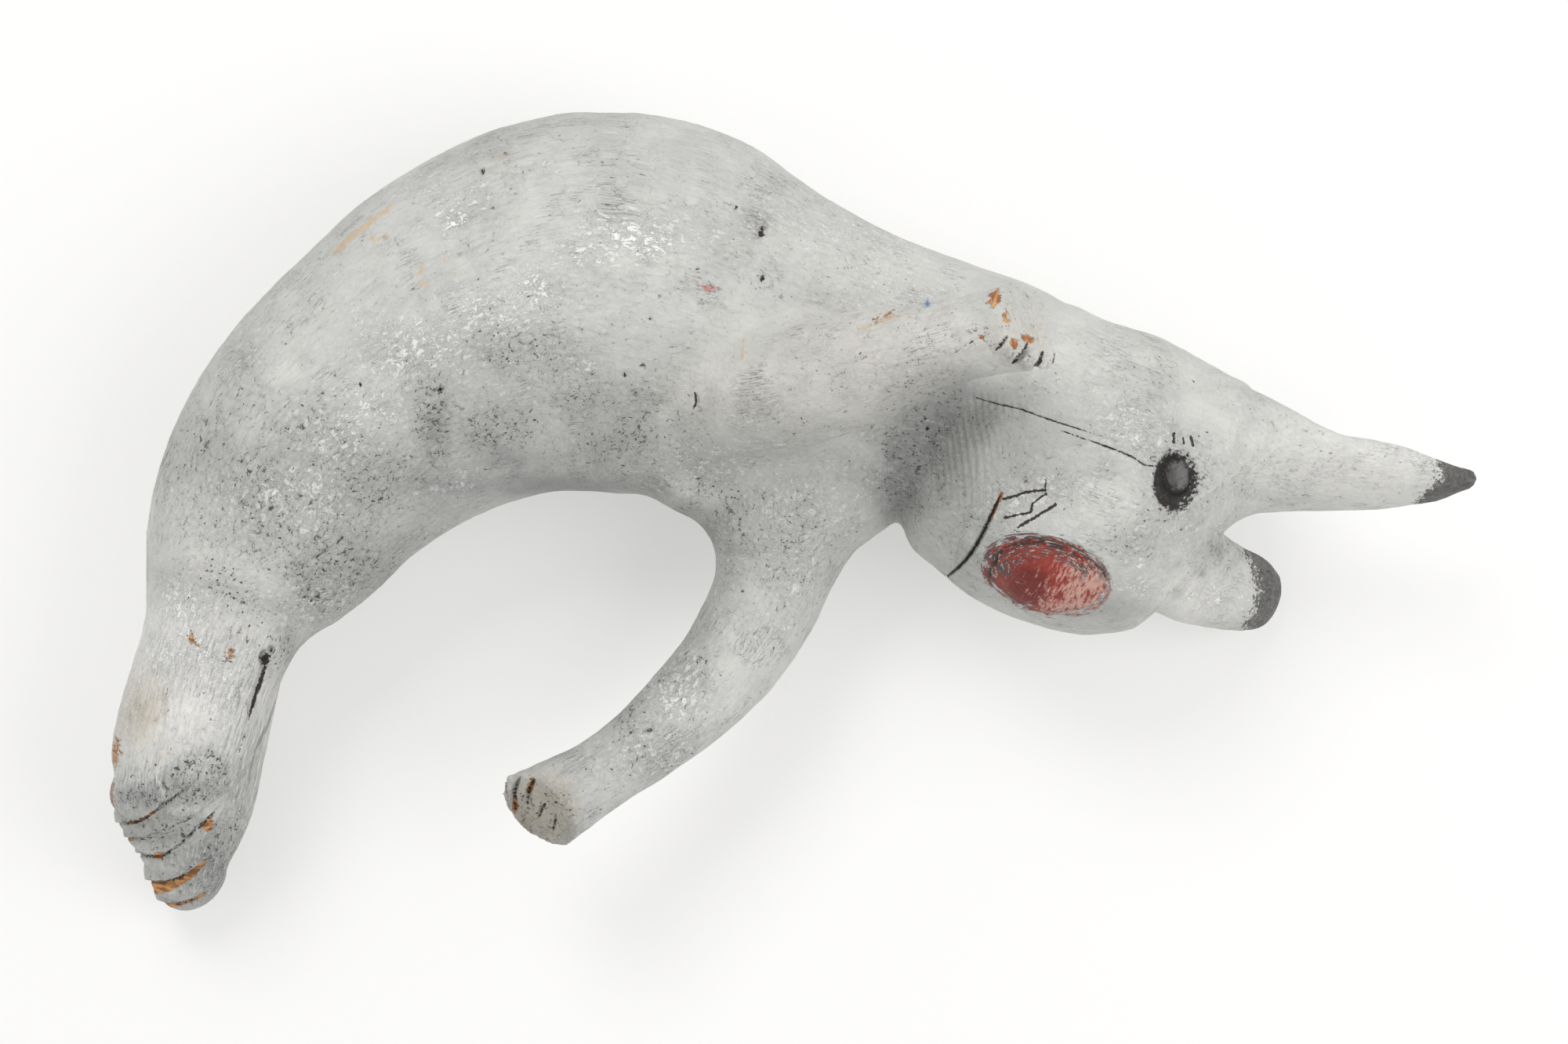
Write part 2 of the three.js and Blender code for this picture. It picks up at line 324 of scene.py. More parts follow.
# Rubs the skin smooth all over and then fills the joints, where points move freely outwards and
# hardly inwards, so that a crease becomes a soft hollow.
def rubSmooth(mesh, points):
    edges = rowsOf(mesh.edges, "vertices", 2, np.int32)
    count = np.maximum(np.bincount(edges.ravel(), minlength=len(points)), 1)[:, None]
    for turn in range(skin["smoothings"]):
        points = points + skin["smoothed"] * (neighbourMean(points, edges, count) - points)
    turns = np.zeros(len(points))
    for at, reach, rounds in joints:
        apart = np.linalg.norm(points - (np.array(at) - middle), axis=1)
        turns = np.maximum(turns, rounds * ease(reach, reach * 0.4, apart))
    owner, table = neighbourTable(edges, turns > 0.5)
    turns, normals = turns[owner, None], normalsOf(mesh)[owner]
    for turn in range(int(turns.max())):
        step = points[table].mean(1) - points[owner]
        outward = (step * normals).sum(1, keepdims=True) > 0
        share = np.where(outward, skin["outward"], skin["inward"])
        points[owner] += share * np.clip(turns - turn, 0, 1) * step
    return points


# Noise: random numbers on a wrapped lattice, eased between its corners.
lattice = np.random.default_rng(skin["seed"]).random((32, 32, 32))


def noise(points, size, shift=0):
    at = points / size + shift
    cell = np.floor(at).astype(int)
    part = at - cell
    part = part * part * (3 - 2 * part)
    total = 0
    for corner in np.ndindex(2, 2, 2):
        share = np.prod(np.where(corner, part, 1 - part), axis=1)
        i, j, k = ((cell + corner) % len(lattice)).T
        total = total + share * lattice[i, j, k]
    return total * 2 - 1


# How far picture places are from a bent line, in pixels, on which side, and where along it.
def fromLine(places, line):
    fine = curveThrough(line, np.linspace(0, 1, 6 * len(line)))
    step = np.diff(fine, axis=0)
    length = np.linalg.norm(step, axis=1)
    away = places[:, None] - fine[None, :-1]
    share = np.clip((away * step).sum(2) / length**2, 0, 1)
    off = away - share[..., None] * step
    gap = np.linalg.norm(off, axis=2)
    k = gap.argmin(1)
    row = np.arange(len(places))
    side = np.sign(step[k, 0] * off[row, k, 1] - step[k, 1] * off[row, k, 0])
    along = (np.concatenate([[0], np.cumsum(length)])[k] + share[row, k] * length[k]) / length.sum()
    return gap[row, k] * side, along


pixel = 0.264  # a picture pixel in millimetres, at half the carving's height


# Marks of one kind, each a row of values for the keys, under the heights in millimetres that they
# lie between. Places and half sizes are in pixels, turns in degrees, widths in millimetres.
def marksFrom(keys, table):
    return [dict(zip(keys.split(), row), height=height) for height, rows in table.items() for row in rows]


spotKeys = "x y long wide turn strength"

# Lines cut with the knife or split by drying: half width, depth, and how dark their ink and painted shade are.
cuts = marksFrom("line wide deep ink", {
    (40, 125): [  # mouth
        ([(1276, 632), (1267, 650), (1258, 670), (1240, 703), (1224, 722), (1206, 737)], 0.66, 2.2, 1),
    ],
    (30, 100): [  # parting of the hind legs, and its end
        ([(341, 836), (337, 852), (330, 875), (323, 897), (318, 914)], 0.85, 3.0, 1),
        ([(318, 914), (311, 940), (305, 960)], 0.3, 0.5, 0.3),
    ],
    (70, 130): [  # drying crack of the head, in three, and the nick at the shoulder
        ([(1245, 507), (1272, 515), (1299, 521), (1324, 530), (1348, 538), (1367, 544), (1391, 552)],
         0.2, 0.5, 1.05),
        ([(1391, 562), (1416, 571), (1434, 578), (1450, 586), (1460, 593), (1475, 594)], 0.24, 0.6, 1.05),
        ([(1354, 549), (1373, 556), (1391, 562)], 0.22, 0.3, 0.5),
        ([(886, 500), (888, 509), (885, 521)], 0.45, 0.8, 1),
    ],
    (50, 125): [  # edge of the nose: above, beside and at its end
        ([(1266, 733), (1274, 707), (1299, 694), (1324, 692), (1355, 699), (1384, 716)], 0.9, 1.1, 0.42),
        ([(1262, 748), (1264, 728), (1276, 705)], 0.4, 0.5, 0.35),
        ([(1394, 718), (1406, 728), (1413, 744)], 0.4, 0.5, 0.5),
    ],
    (120, 175): [([(1215, 452), (1237, 437), (1262, 425)], 0.35, 0.5, 0.3)],  # crease by the right forefoot
    (50, 110): [  # grooves of the left forefoot
        ([(645, 994), (645, 1004), (648, 1016)], 0.4, 0.9, 0.62),
        ([(664, 990), (657, 1008), (658, 1034)], 0.7, 1.8, 0.62),
        ([(682, 993), (675, 1006), (673, 1026)], 0.6, 1.8, 0.62),
        ([(696, 1024), (691, 1032), (688, 1041)], 0.5, 1.2, 0.62),
        ([(709, 1038), (708, 1048), (705, 1060)], 0.4, 0.7, 0.62),
    ],
    (135, 175): [  # grooves of the right forefoot
        ([(1285, 428), (1279, 437), (1269, 447)], 0.6, 1.6, 0.85),
        ([(1311, 437), (1304, 450), (1291, 463)], 0.75, 2.2, 0.85),
        ([(1330, 448), (1326, 460), (1318, 470)], 0.75, 2.2, 0.85),
        ([(1346, 450), (1346, 458), (1343, 466)], 0.65, 1.8, 0.85),
    ],
})

# Lobes and dents. Their strength is how high they stand, in millimetres.
lobes = marksFrom(spotKeys, {
    (50, 110): [  # toes of the left forefoot
        (652, 1014, 5, 22, -4, 0.8), (666, 1016, 7, 26, -4, 1.1),
        (682, 1034, 8, 20, -10, 1.0), (699, 1050, 7, 16, -12, 0.8),
    ],
    (135, 175): [  # toes of the right forefoot
        (1274, 438, 8, 9, 40, 1.1), (1294, 447, 8, 13, 38, 1.9),
        (1315, 456, 8, 13, 34, 1.9), (1336, 458, 8, 12, 15, 1.8),
    ],
    (30, 100): [(339, 839, 5, 7, 0, -3.5), (347, 829, 4, 4, 0, -1.2)],  # knot hole
    (80, 130): [(558, 520, 9, 36, 4, -0.9), (552, 580, 12, 36, 10, -0.8)],  # dents at the hip
    (50, 100): [(182, 905, 26, 44, 8, -0.6), (213, 905, 5, 28, -6, 0.5)],  # worn oval and its ridge
    (20, 100): [(333, 880, 8, 50, 14, -0.5)],  # hollow along the parting
})
# Single holes in the wood: pixel and radius in pixels.
holes = [
    (972, 290, 2.6), (971, 299, 3.2), (974, 356, 3.4), (939, 266, 1.9), (829, 406, 2.2), (841, 379, 1.9),
    (615, 218, 2.8), (562, 498, 3.2), (556, 541, 2.2), (820, 467, 2.6), (797, 478, 2.1), (997, 378, 2),
    (1180, 533, 2.2), (1183, 546, 2.2), (459, 491, 2.4), (490, 303, 1.6), (338, 840, 6.5), (347, 829, 3.4),
]
holes = marksFrom(spotKeys, {(30, 140): [(x, y, size, size * 1.3, 0, -1.3) for x, y, size in holes]})

# The toes' lower edges on the hind feet: how high each stands above its line, how deep the strip
# under it lies and is cut in, and that strip's width.
toeEdges = marksFrom("line lip deep undercut strip", {(5, 100): [
    ([(147, 1049), (176, 1045), (200, 1030), (222, 1014), (246, 999)], 0.9, 1.7, 1.0, 4.2),
    ([(153, 1068), (178, 1067), (205, 1058), (232, 1046), (259, 1030), (280, 1012)], 0.5, 1.0, 0.5, 3.7),
    ([(168, 1086), (188, 1090), (208, 1088), (228, 1075), (250, 1055), (270, 1036), (288, 1012)],
     0.8, 1.7, 1.0, 4.7),
    ([(182, 1121), (208, 1123), (235, 1114), (258, 1099)], 0.8, 2.2, 0.8, 4.0),
    ([(197, 1146), (219, 1151), (240, 1147), (259, 1138)], 0.6, 1.3, 0.6, 2.8),
]})

# Painted lines and their half width: the whiskers and the lashes.
strokes = marksFrom("line wide", {(60, 125): [
    ([(1280, 636), (1296, 632), (1312, 627), (1333, 625)], 0.4),
    ([(1333, 625), (1334, 611)], 0.24),
    ([(1282, 660), (1300, 656), (1314, 653), (1317, 643), (1334, 630)], 0.36),
    ([(1299, 672), (1319, 660), (1347, 643)], 0.42),
    ([(1497, 553), (1497, 564)], 0.38),
    ([(1509, 558), (1510, 566)], 0.32),
    ([(1519, 557), (1522, 568)], 0.34),
]})
blueSpeck = marksFrom(spotKeys, {(60, 175): [(1183, 388, 3.4, 3.4, 0, 1)]})

# The eyes, and their common shape in millimetres: half sizes, depth of the hollow, and the ball's
# height, its shift from the middle and its share of the hollow's size.
eyes = [
    {"at": (123.4, 9.2, 108), "facing": (0.35, 0.02, 0.94), "along": (0.1, 1, 0)},
    {"at": (89, -39, 40), "facing": (-0.15, -0.93, -0.33), "along": (0.8, 0, 0.6)},
]
eye = {"long": 9.6, "wide": 7.6, "sunk": 2.4, "ball": 2.3, "ballAt": (1.7, 0.9), "ballSize": 0.64, "depth": 14}


# How far points are from an eye's middle, as a share of its size, and the same for its ball.
def eyeReach(points, one):
    out = unit(one["facing"])
    side = unit(np.cross(one["along"], out))
    length = np.cross(out, side)
    off = points - (np.array(one["at"]) - middle)
    up, across = off @ length, off @ side
    far = np.where(np.abs(off @ out) < eye["depth"], 0, 9)
    hollow = np.hypot(up / eye["long"], across / eye["wide"]) + far
    shiftUp, shiftAcross = eye["ballAt"]
    size = eye["ballSize"]
    ball = np.hypot((up - shiftUp) / eye["long"] / size, (across - shiftAcross) / eye["wide"] / size) + far
    return hollow, ball


# What marks are placed by: the skin's points, its normals, and where they fall in the picture.
def skinOf(mesh):
    points = pointsOf(mesh)
    return points, normalsOf(mesh), seenAt(points)


# Marks lie on what faces up, or hardly down: the lowest upright part of the normal under them.
leastUp = {"spots": -0.15, "lines": -0.4}


def within(height, points, normals, least):
    z = points[:, 2]
    return (z > height[0]) & (z < height[1]) & (normals[:, 2] > least)


# The points near a marked line: which they are, how many millimetres off it, and where along it.
def nearLine(mark, points, normals, places, margin):
    line = np.array(mark["line"], float)
    near = within(mark["height"], points, normals, leastUp["lines"])
    near &= (places > line.min(0) - margin / pixel).all(1) & (places < line.max(0) + margin / pixel).all(1)
    apart, along = fromLine(places[near], line)
    return near, apart * pixel, along


# Where places lie in a turned oval, along it and across, as shares of its half sizes.
def inOval(oval, places):
    turn = np.radians(oval["turn"])
    x, y = (places - (oval["x"], oval["y"])).T
    long = x * np.cos(turn) + y * np.sin(turn)
    return long / oval["long"], (y * np.cos(turn) - x * np.sin(turn)) / oval["wide"]


# How much each point lies in a spot: 1 inside, easing to 0 beyond its edge.
def inSpot(spot, points, normals, places, soft):
    seen = within(spot["height"], points, normals, leastUp["spots"])
    return ease(1 + soft, 1 - soft, np.hypot(*inOval(spot, places))) * seen


def strongest(spots, here, soft=0.35):
    return np.max([inSpot(spot, *here, soft) * spot["strength"] for spot in spots], axis=0)


# A soft round hill over picture places, by the square of the distance from its middle.
def inHill(places, at, size):
    return np.exp(-(((places - at) / size) ** 2).sum(1))


# How far a cut's two ends taper.
def taperOf(along):
    return np.sqrt(np.clip(4 * along * (1 - along), 0.02, 1))


# Where the carving needs small faces: near its cuts, toes, whiskers and eyes, and the smallest
# ones only beside the thin lines.
def detailAt(here, smallest=False):
    detail = np.zeros(len(here[0]))
    for mark in cuts + strokes:
        near, apart, along = nearLine(mark, *here, 6)
        reach = mark["wide"] + (0.5 if smallest else 1.2)
        detail[near] = np.maximum(detail[near], ease(reach * 1.8, reach, np.abs(apart)))
    if smallest:
        return detail
    for edge in toeEdges:
        near, apart, along = nearLine(edge, *here, 6)
        detail[near] = np.maximum(detail[near], ease(edge["strip"] + 1.2, edge["strip"], np.abs(apart)))
    for one in eyes:
        detail = np.maximum(detail, ease(1.35, 1.15, eyeReach(here[0], one)[0]))
    for spot in lobes + holes + blueSpeck:
        if spot["long"] < 8.5:
            detail = np.maximum(detail, inSpot(spot, *here, 0.6))
    return detail


# Uneven knife work all over: the size and height of its waves in millimetres, and where they start.
knifeWork = [(34, 0.5, 0), (15, 0.3, 9), (6.5, 0.16, 21), (2.8, 0.1, 5)]
# Ripples left by the gouge and the rasp: the middle of the patch and its half sizes in pixels,
# the middle of the rings that they follow, and their step and height in millimetres.
ripples = [
    ((1222, 560), (60, 80), (560, 640), 2.3, 0.36),
    ((445, 745), (50, 50), (335, 860), 2.9, 0.24),
    ((215, 900), (24, 40), (120, 900), 3.4, 0.2),
    ((1100, 640), (50, 50), (900, 300), 3.1, 0.2),
]


# The carving's relief, as a move along each point's normal, in millimetres.
def relief(here):
    points, normals, places = here
    move = sum(high * noise(points, size, shift) for size, high, shift in knifeWork)
    wander = 1.1 * noise(points, 11, 31)
    for at, size, rings, step, high in ripples:
        share = inHill(places, at, size)
        ring = np.linalg.norm(places - rings, axis=1) * pixel + wander
        move += high * share * np.sin(2 * np.pi * ring / step) * (normals[:, 2] > 0)
    for edge in toeEdges:
        near, apart, along = nearLine(edge, *here, 9)
        ends = np.maximum(ease(1, 0.7, along), 0.1) * ease(-0.05, 0.1, along)
        below = np.exp(-2 * apart / edge["strip"]) * ease(0, 0.5, apart) * (apart > 0)
        above = np.exp(np.minimum(apart, 0) / 3.5) * (apart <= 0)
        undercut = np.clip(1 - np.abs(apart - 0.5) / 0.9, 0, 1)
        move[near] += ends * (edge["lip"] * above - edge["deep"] * below - edge["undercut"] * undercut)
    for spot in lobes + holes:
        move += spot["strength"] * inSpot(spot, *here, 0.7)
    for cut in cuts:
        near, apart, along = nearLine(cut, *here, 4)
        taper = taperOf(along)
        groove = np.clip(1 - np.abs(apart) / (cut["wide"] * 1.5 * taper + 0.15), 0, 1)
        move[near] -= cut["deep"] * taper * groove**0.8
    for one in eyes:
        hollow, ball = eyeReach(points, one)
        rim = 0.25 * ease(1.35, 1.1, hollow) * ease(0.95, 1.1, hollow)
        move -= eye["sunk"] * ease(1.08, 0.72, hollow) - rim
        move += eye["ball"] * np.sqrt(np.clip(1 - ball**2, 0, 1))
    return move


def subdivideWhere(mesh, wanted):
    work = bmesh.new()
    work.from_mesh(mesh)
    work.verts.ensure_lookup_table()
    chosen = [e for e in work.edges if wanted[e.verts[0].index] and wanted[e.verts[1].index]]
    bmesh.ops.subdivide_edges(work, edges=chosen, cuts=1, use_grid_fill=True)
    work.to_mesh(mesh)
    work.free()


def setWeights(piece, name, weights):
    group = piece.vertex_groups.new(name=name)
    levels = np.round(weights * 10).astype(int)
    for level in np.unique(levels):
        group.add(np.nonzero(levels == level)[0].tolist(), level / 10, "REPLACE")


def carveRabbit():
    points, faces = [], []
    count = 0
    for grid in [limbSkin(limb) for limb in limbs.values()] + [moundSkin(*mound) for mound in mounds]:
        some, more = closeGrid(grid, count)
        points.append(some)
        faces += more
        count += len(some)
    piece = meshObject("carvedRabbit", np.vstack(points), faces)
    print("limbs", count, "points")
    withModifier(piece, "REMESH", mode="VOXEL", voxel_size=skin["voxel"] * mm, use_smooth_shade=True)
    mesh = piece.data
    putPoints(mesh, rubSmooth(mesh, pointsOf(mesh)))
    print("skinned", len(mesh.vertices), "points")
    for smallest in (False, True):
        subdivideWhere(mesh, detailAt(skinOf(mesh), smallest) > skin["split"])
        mesh.update()
    here = skinOf(mesh)
    points = here[0] + here[1] * relief(here)[:, None]
    points[:, 2] = np.maximum(points[:, 2], skin["lowest"])
    putPoints(mesh, points)
    print("carved", len(mesh.vertices), "points")
    withModifier(piece, "TRIANGULATE")
    setWeights(piece, "free", 1 - skin["kept"] * detailAt(skinOf(mesh)))
    ratio = min(1, skin["triangles"] / len(mesh.polygons))
    withModifier(piece, "DECIMATE", ratio=ratio, vertex_group="free", vertex_group_factor=4)
    piece.vertex_groups.clear()
    piece.data.shade_smooth()
    print("thinned to", len(piece.data.polygons), "triangles")
    return piece


# The red nose: its oval, its darkest part, and the ring along its top with dark strokes and painted highlights.
redNose = {
    "x": 1335, "y": 733, "long": 80, "wide": 47, "turn": 14, "height": (40, 125),
    "core": (1312, 748), "coreSize": 34, "ring": 0.78, "ringWide": (0.36, 0.18),
}
# The black ear tips, to the right of a line of pixels, and the rows of pixels that they lie in.
earTips = [
    {"line": [(1832, 585), (1834, 608), (1806, 640)], "height": (40, 100), "rows": (560, 680)},
    {"line": [(1589, 706), (1598, 728), (1602, 748), (1600, 775), (1584, 806)], "height": (0, 50),
     "rows": (690, 840)},
]
tipReach = 12  # how far from its line a tip's edge is worked out, in millimetres

# Spots of bare wood, and bare wood under a toe's edge: which edge, from where to where along it,
# and its width there in millimetres.
bareSpots = marksFrom(spotKeys, {
    (130, 175): [  # right forefoot
        (1269, 379, 7, 11, 10, 1), (1284, 405, 4.5, 12, -8, 0.75), (1293, 437, 5, 7, 0, 0.75),
        (1311, 432, 9, 5, 25, 0.8), (1241, 421, 4, 5, 0, 0.6), (1252, 430, 10, 3, 30, 0.45),
    ],
    (80, 125): [(1276, 634, 3, 7, 20, 1), (1268, 650, 2.6, 17, 24, 0.8)],  # top of the mouth
    (60, 100): [  # right hind leg
        (246, 813, 6, 4, 10, 0.8), (255, 818, 4, 4, 0, 0.7), (295, 832, 3, 8, -6, 0.75),
        (287, 852, 1.5, 10, 8, 0.7),
    ],
    (30, 100): [(265, 1051, 8, 9, 30, 0.85)],  # hind feet
    (20, 100): [(203, 1091, 7, 5, 0, 0.85)],
    (40, 100): [(148, 958, 5, 20, 6, 0.7), (143, 1010, 2.5, 30, 0, 0.6)],
    (50, 110): [(657, 1026, 4, 12, 0, 0.75), (677, 1002, 4, 11, 14, 0.8)],  # left forefoot
    (100, 150): [(1125, 404, 18, 5, -25, 0.42), (1099, 454, 3, 6, 0, 0.4)],  # right foreleg
})
bareBands = [
    (0, (0.15, 0.5), (1.1, 0.9)), (3, (-0.1, 1.1), (5.2, 1.3)),
    (4, (-0.1, 1.1), (1.5, 0.9)), (1, (-0.1, 0.12), (1.0, 0.6)),
]
tanSpots = marksFrom(spotKeys, {
    (50, 100): [(182, 905, 26, 44, 10, 0.58)],
    (50, 110): [(686, 1034, 46, 46, 0, 0.6)],
    (135, 175): [(1300, 430, 50, 40, 0, 0.22)],
    (95, 170): [(1060, 470, 190, 70, -12, 0.16)],
})
redSpots = marksFrom(spotKeys, {
    (80, 120): [(905, 371, 9, 6, -10, 0.8), (926, 364, 13, 4, -24, 0.8)],
    (60, 120): [(630, 210, 3, 3, 0, 0.7), (727, 224, 3, 2, 0, 0.7)],
    (80, 125): [(1370, 640, 12, 10, 0, 0.25)],
})
# Thin ochre smears, their half width and strength.
ochreLines = marksFrom("line wide strength", {(50, 150): [
    ([(429, 322), (446, 303), (470, 286), (500, 264)], 0.84, 0.9),
    ([(470, 304), (492, 302), (514, 305)], 0.6, 0.6),
    ([(560, 320), (577, 335), (576, 350), (562, 362), (545, 364), (536, 350), (540, 332)], 0.48, 0.6),
    ([(532, 363), (548, 362)], 0.6, 1),
    ([(941, 314), (937, 336), (926, 347)], 0.66, 0.8),
    ([(965, 424), (949, 429), (946, 446), (947, 462)], 0.42, 0.8),
    ([(896, 256), (908, 252)], 0.48, 0.7),
    ([(628, 208), (640, 199)], 0.6, 0.7),
    ([(1098, 420), (1118, 410), (1139, 404)], 0.9, 0.6),
    ([(196, 968), (219, 956)], 1.2, 0.5),
]})

# Where pits, dry white paint, dark paint with painted shade, pale paint with painted light and bared
# fibres are thickest: the middle and half sizes in pixels, and how thick.
crowds = {
    "pitted": [
        (330, 620, 110, 130, 0.7), (555, 540, 34, 80, 1.0), (745, 515, 50, 36, 0.9), (820, 560, 110, 60, 0.7),
        (430, 720, 90, 70, 0.9), (900, 640, 80, 60, 0.8), (1165, 590, 50, 70, 1.4), (1215, 530, 50, 50, 0.9),
        (258, 990, 30, 26, 3.2), (230, 1004, 26, 18, 2.4), (180, 1015, 40, 20, 1.5), (285, 1105, 36, 56, 1.6),
        (220, 1060, 60, 30, 0.9), (1000, 700, 80, 80, 0.6), (780, 960, 120, 60, 0.4), (640, 450, 60, 30, 0.7),
        (300, 470, 60, 60, 0.5), (1250, 640, 60, 80, 0.4), (300, 770, 50, 40, 0.8), (556, 548, 20, 60, 1.7),
        (470, 610, 90, 60, 0.8), (640, 545, 80, 40, 0.8), (380, 540, 80, 60, 0.6), (690, 460, 60, 60, 0.6),
        (360, 830, 30, 30, 0.8), (860, 850, 60, 60, 0.4), (225, 590, 44, 60, 0.7), (1505, 610, 60, 56, 0.7),
        (250, 1120, 50, 40, 0.6), (640, 190, 60, 30, 0.4), (688, 1034, 44, 40, 1.3), (800, 895, 24, 50, 1.1),
        (1560, 700, 30, 24, 0.8), (1440, 690, 40, 30, 0.5),
    ],
    "chalky": [
        (820, 298, 66, 30, 0.9), (750, 320, 50, 24, 0.7), (687, 369, 42, 30, 0.9), (620, 400, 60, 34, 0.85),
        (540, 445, 80, 44, 0.85), (580, 281, 17, 8, 1.1), (400, 645, 60, 50, 0.8), (430, 560, 60, 50, 0.75),
        (330, 640, 50, 60, 0.6), (400, 770, 60, 40, 0.9), (235, 770, 40, 30, 1.0), (900, 600, 80, 40, 0.6),
        (290, 880, 35, 70, 0.6), (230, 830, 50, 40, 0.8), (830, 960, 60, 40, 0.7), (1450, 540, 60, 40, 0.5),
        (1300, 640, 70, 50, 0.5), (1100, 300, 120, 40, 0.4), (1560, 760, 40, 30, 0.5),
        (1010, 640, 90, 60, 0.5), (480, 520, 50, 26, 0.8), (1500, 680, 60, 40, 0.4), (1016, 723, 40, 40, 0.6),
        (860, 880, 50, 50, 0.8), (150, 880, 30, 60, 0.6),
    ],
    # Dark paint, and painted shade in the neck's hollow, under the belly, beside the right forefoot and along
    # the cheek's edge.
    "darkAndPaintedShade": [
        (1150, 606, 30, 62, 1.0), (1190, 545, 56, 60, 0.75), (1240, 510, 50, 46, 0.7),
        (1328, 392, 6, 20, 0.4), (1346, 424, 6, 18, 0.4), (556, 550, 18, 60, 0.35), (650, 588, 90, 30, 0.55),
        (322, 990, 26, 90, 0.5), (270, 1110, 36, 46, 0.6), (200, 1062, 60, 16, 0.35),
        (215, 1100, 50, 14, 0.25), (880, 820, 60, 80, 0.3), (520, 372, 80, 22, 0.3), (872, 390, 26, 60, 0.3),
        (330, 500, 60, 70, 0.25), (700, 618, 190, 18, 0.9), (880, 670, 50, 50, 0.5),
        (186, 1016, 50, 16, 0.65), (230, 1000, 46, 20, 0.6), (960, 560, 60, 30, 0.2),
        (250, 1130, 30, 30, 0.5), (722, 1062, 16, 14, 0.7), (1420, 775, 90, 20, 0.6), (470, 700, 60, 36, 0.4),
        (1110, 640, 40, 60, 0.5), (180, 900, 26, 36, 0.4), (1330, 500, 120, 24, 0.3),
        (1640, 640, 60, 12, 0.4), (1556, 702, 9, 13, 0.6), (1532, 730, 12, 13, 0.6), (1502, 757, 14, 11, 0.6),
        (1466, 782, 18, 9, 0.5), (690, 1040, 40, 34, 0.3),
    ],
    # Pale paint, and painted light on the ears, the thigh, the rump and the right foreleg.
    "paleAndPaintedLight": [
        (1700, 600, 170, 60, 0.7), (1530, 760, 80, 56, 0.8), (262, 695, 70, 70, 0.75),
        (340, 490, 70, 100, 0.35), (1010, 490, 120, 50, 0.45), (240, 870, 120, 130, 1.2),
        (1450, 420, 220, 70, 0.35), (1340, 560, 120, 60, 0.3), (900, 900, 160, 140, 0.3),
        (315, 980, 50, 60, 0.25), (330, 700, 120, 110, 0.5), (1020, 720, 90, 90, 0.5),
        (1400, 640, 90, 60, 0.4), (1150, 430, 170, 60, 0.5), (180, 700, 60, 120, 0.3),
        (1120, 330, 160, 50, 0.4), (470, 520, 90, 60, 0.4), (640, 400, 120, 40, 0.35),
        (800, 310, 90, 40, 0.35),
    ],
    "fibrous": [
        (250, 860, 100, 90, 0.8), (325, 960, 50, 150, 1.5), (200, 1000, 70, 34, 1.2), (430, 720, 90, 60, 0.4),
        (270, 1110, 60, 60, 1.3), (560, 560, 40, 60, 0.4), (1190, 560, 60, 70, 0.5),
    ],
}


# The limb that each point belongs to gives it a place in the wood: along, across and under. Near
# the seam between two limbs the second number, how surely it belongs to its own, falls to 0.
def grainOf(points):
    best = np.full(len(points), np.inf)
    second = best.copy()
    grain = np.zeros((len(points), 3))
    for index, limb in enumerate(limbs.values()):
        spot, wide, deep, ahead, across, under = limbLine(limb, np.linspace(0, 1, 60))
        walked = np.concatenate([[0], np.cumsum(np.linalg.norm(np.diff(spot, axis=0), axis=1))])
        for some in np.array_split(np.arange(len(points)), 1 + len(points) // 30000):
            off = points[some][:, None] - spot[None]
            k = (off**2).sum(2).argmin(1)
            off = off[np.arange(len(some)), k]
            reach = np.linalg.norm(off, axis=1) / (wide + deep)[k, 0]
            better = reach < best[some]
            second[some] = np.where(better, best[some], np.minimum(second[some], reach))
            at = some[better]
            off, k = off[better], k[better]
            best[at] = reach[better]
            grain[at, 0] = walked[k] + (off * ahead[k]).sum(1) + 300 * index
            grain[at, 1] = (off * across[k]).sum(1)
            grain[at, 2] = (off * under[k]).sum(1)
    return grain, ease(0.02, 0.14, second - best)


# How far inside the nearest ear tip each point is, in millimetres.
def inTips(points, places):
    tips = np.full(len(points), -float(tipReach))
    for tip in earTips:
        line = np.array(tip["line"], float)
        low, high = tip["height"]
        there = (points[:, 2] > low) & (points[:, 2] < high) & (places[:, 0] > line[:, 0].min() - 40)
        there &= (places[:, 1] > tip["rows"][0]) & (places[:, 1] < tip["rows"][1])
        inside = np.clip(-fromLine(places, line)[0] * pixel, -tipReach, tipReach)
        tips = np.where(there, np.maximum(tips, inside), tips)
    return tips


# How dark each point is with ink, with shade painted into the cuts and under the toes' edges, and in its holes.
def inkAndShadeAt(here):
    ink = np.zeros(len(here[0]))
    for stroke in strokes:
        near, apart, along = nearLine(stroke, *here, 3)
        ink[near] = np.maximum(ink[near], ease(stroke["wide"] + 0.3, stroke["wide"] - 0.15, np.abs(apart)))
    for cut in cuts:
        near, apart, along = nearLine(cut, *here, 3)
        wide = cut["wide"] * taperOf(along)
        ink[near] = np.maximum(ink[near], ease(wide + 0.2, wide * 0.4, np.abs(apart)) * cut["ink"])
    # Painted shade in the cut under each toe's edge.
    for edge in toeEdges:
        near, apart, along = nearLine(edge, *here, 3)
        shade = ease(0.95, 0.2, np.abs(apart - 0.45)) * ease(1, 0.6, along) * ease(0, 0.2, along)
        ink[near] = np.maximum(ink[near], shade * 0.55 * edge["undercut"])
    for hole in holes:
        ink = np.maximum(ink, inSpot(hole, *here, 0.6))
    return ink


def ochreAt(here):
    ochre = np.zeros(len(here[0]))
    for smear in ochreLines:
        near, apart, along = nearLine(smear, *here, 4)
        share = smear["strength"] * ease(smear["wide"] + 0.8, smear["wide"] - 0.5, np.abs(apart))
        ochre[near] = np.maximum(ochre[near], share)
    return ochre


def bareAt(here):
    bare = strongest(bareSpots, here, 0.5)
    for edge, (first, last), (start, end) in bareBands:
        near, apart, along = nearLine(toeEdges[edge], *here, 7)
        wide = start + (end - start) * along
        share = ease(-0.1, 0.3, apart) * ease(wide + 0.3, wide - 0.3, apart)
        share *= (along > first) & (along < last)
        bare[near] = np.maximum(bare[near], share)
    return bare


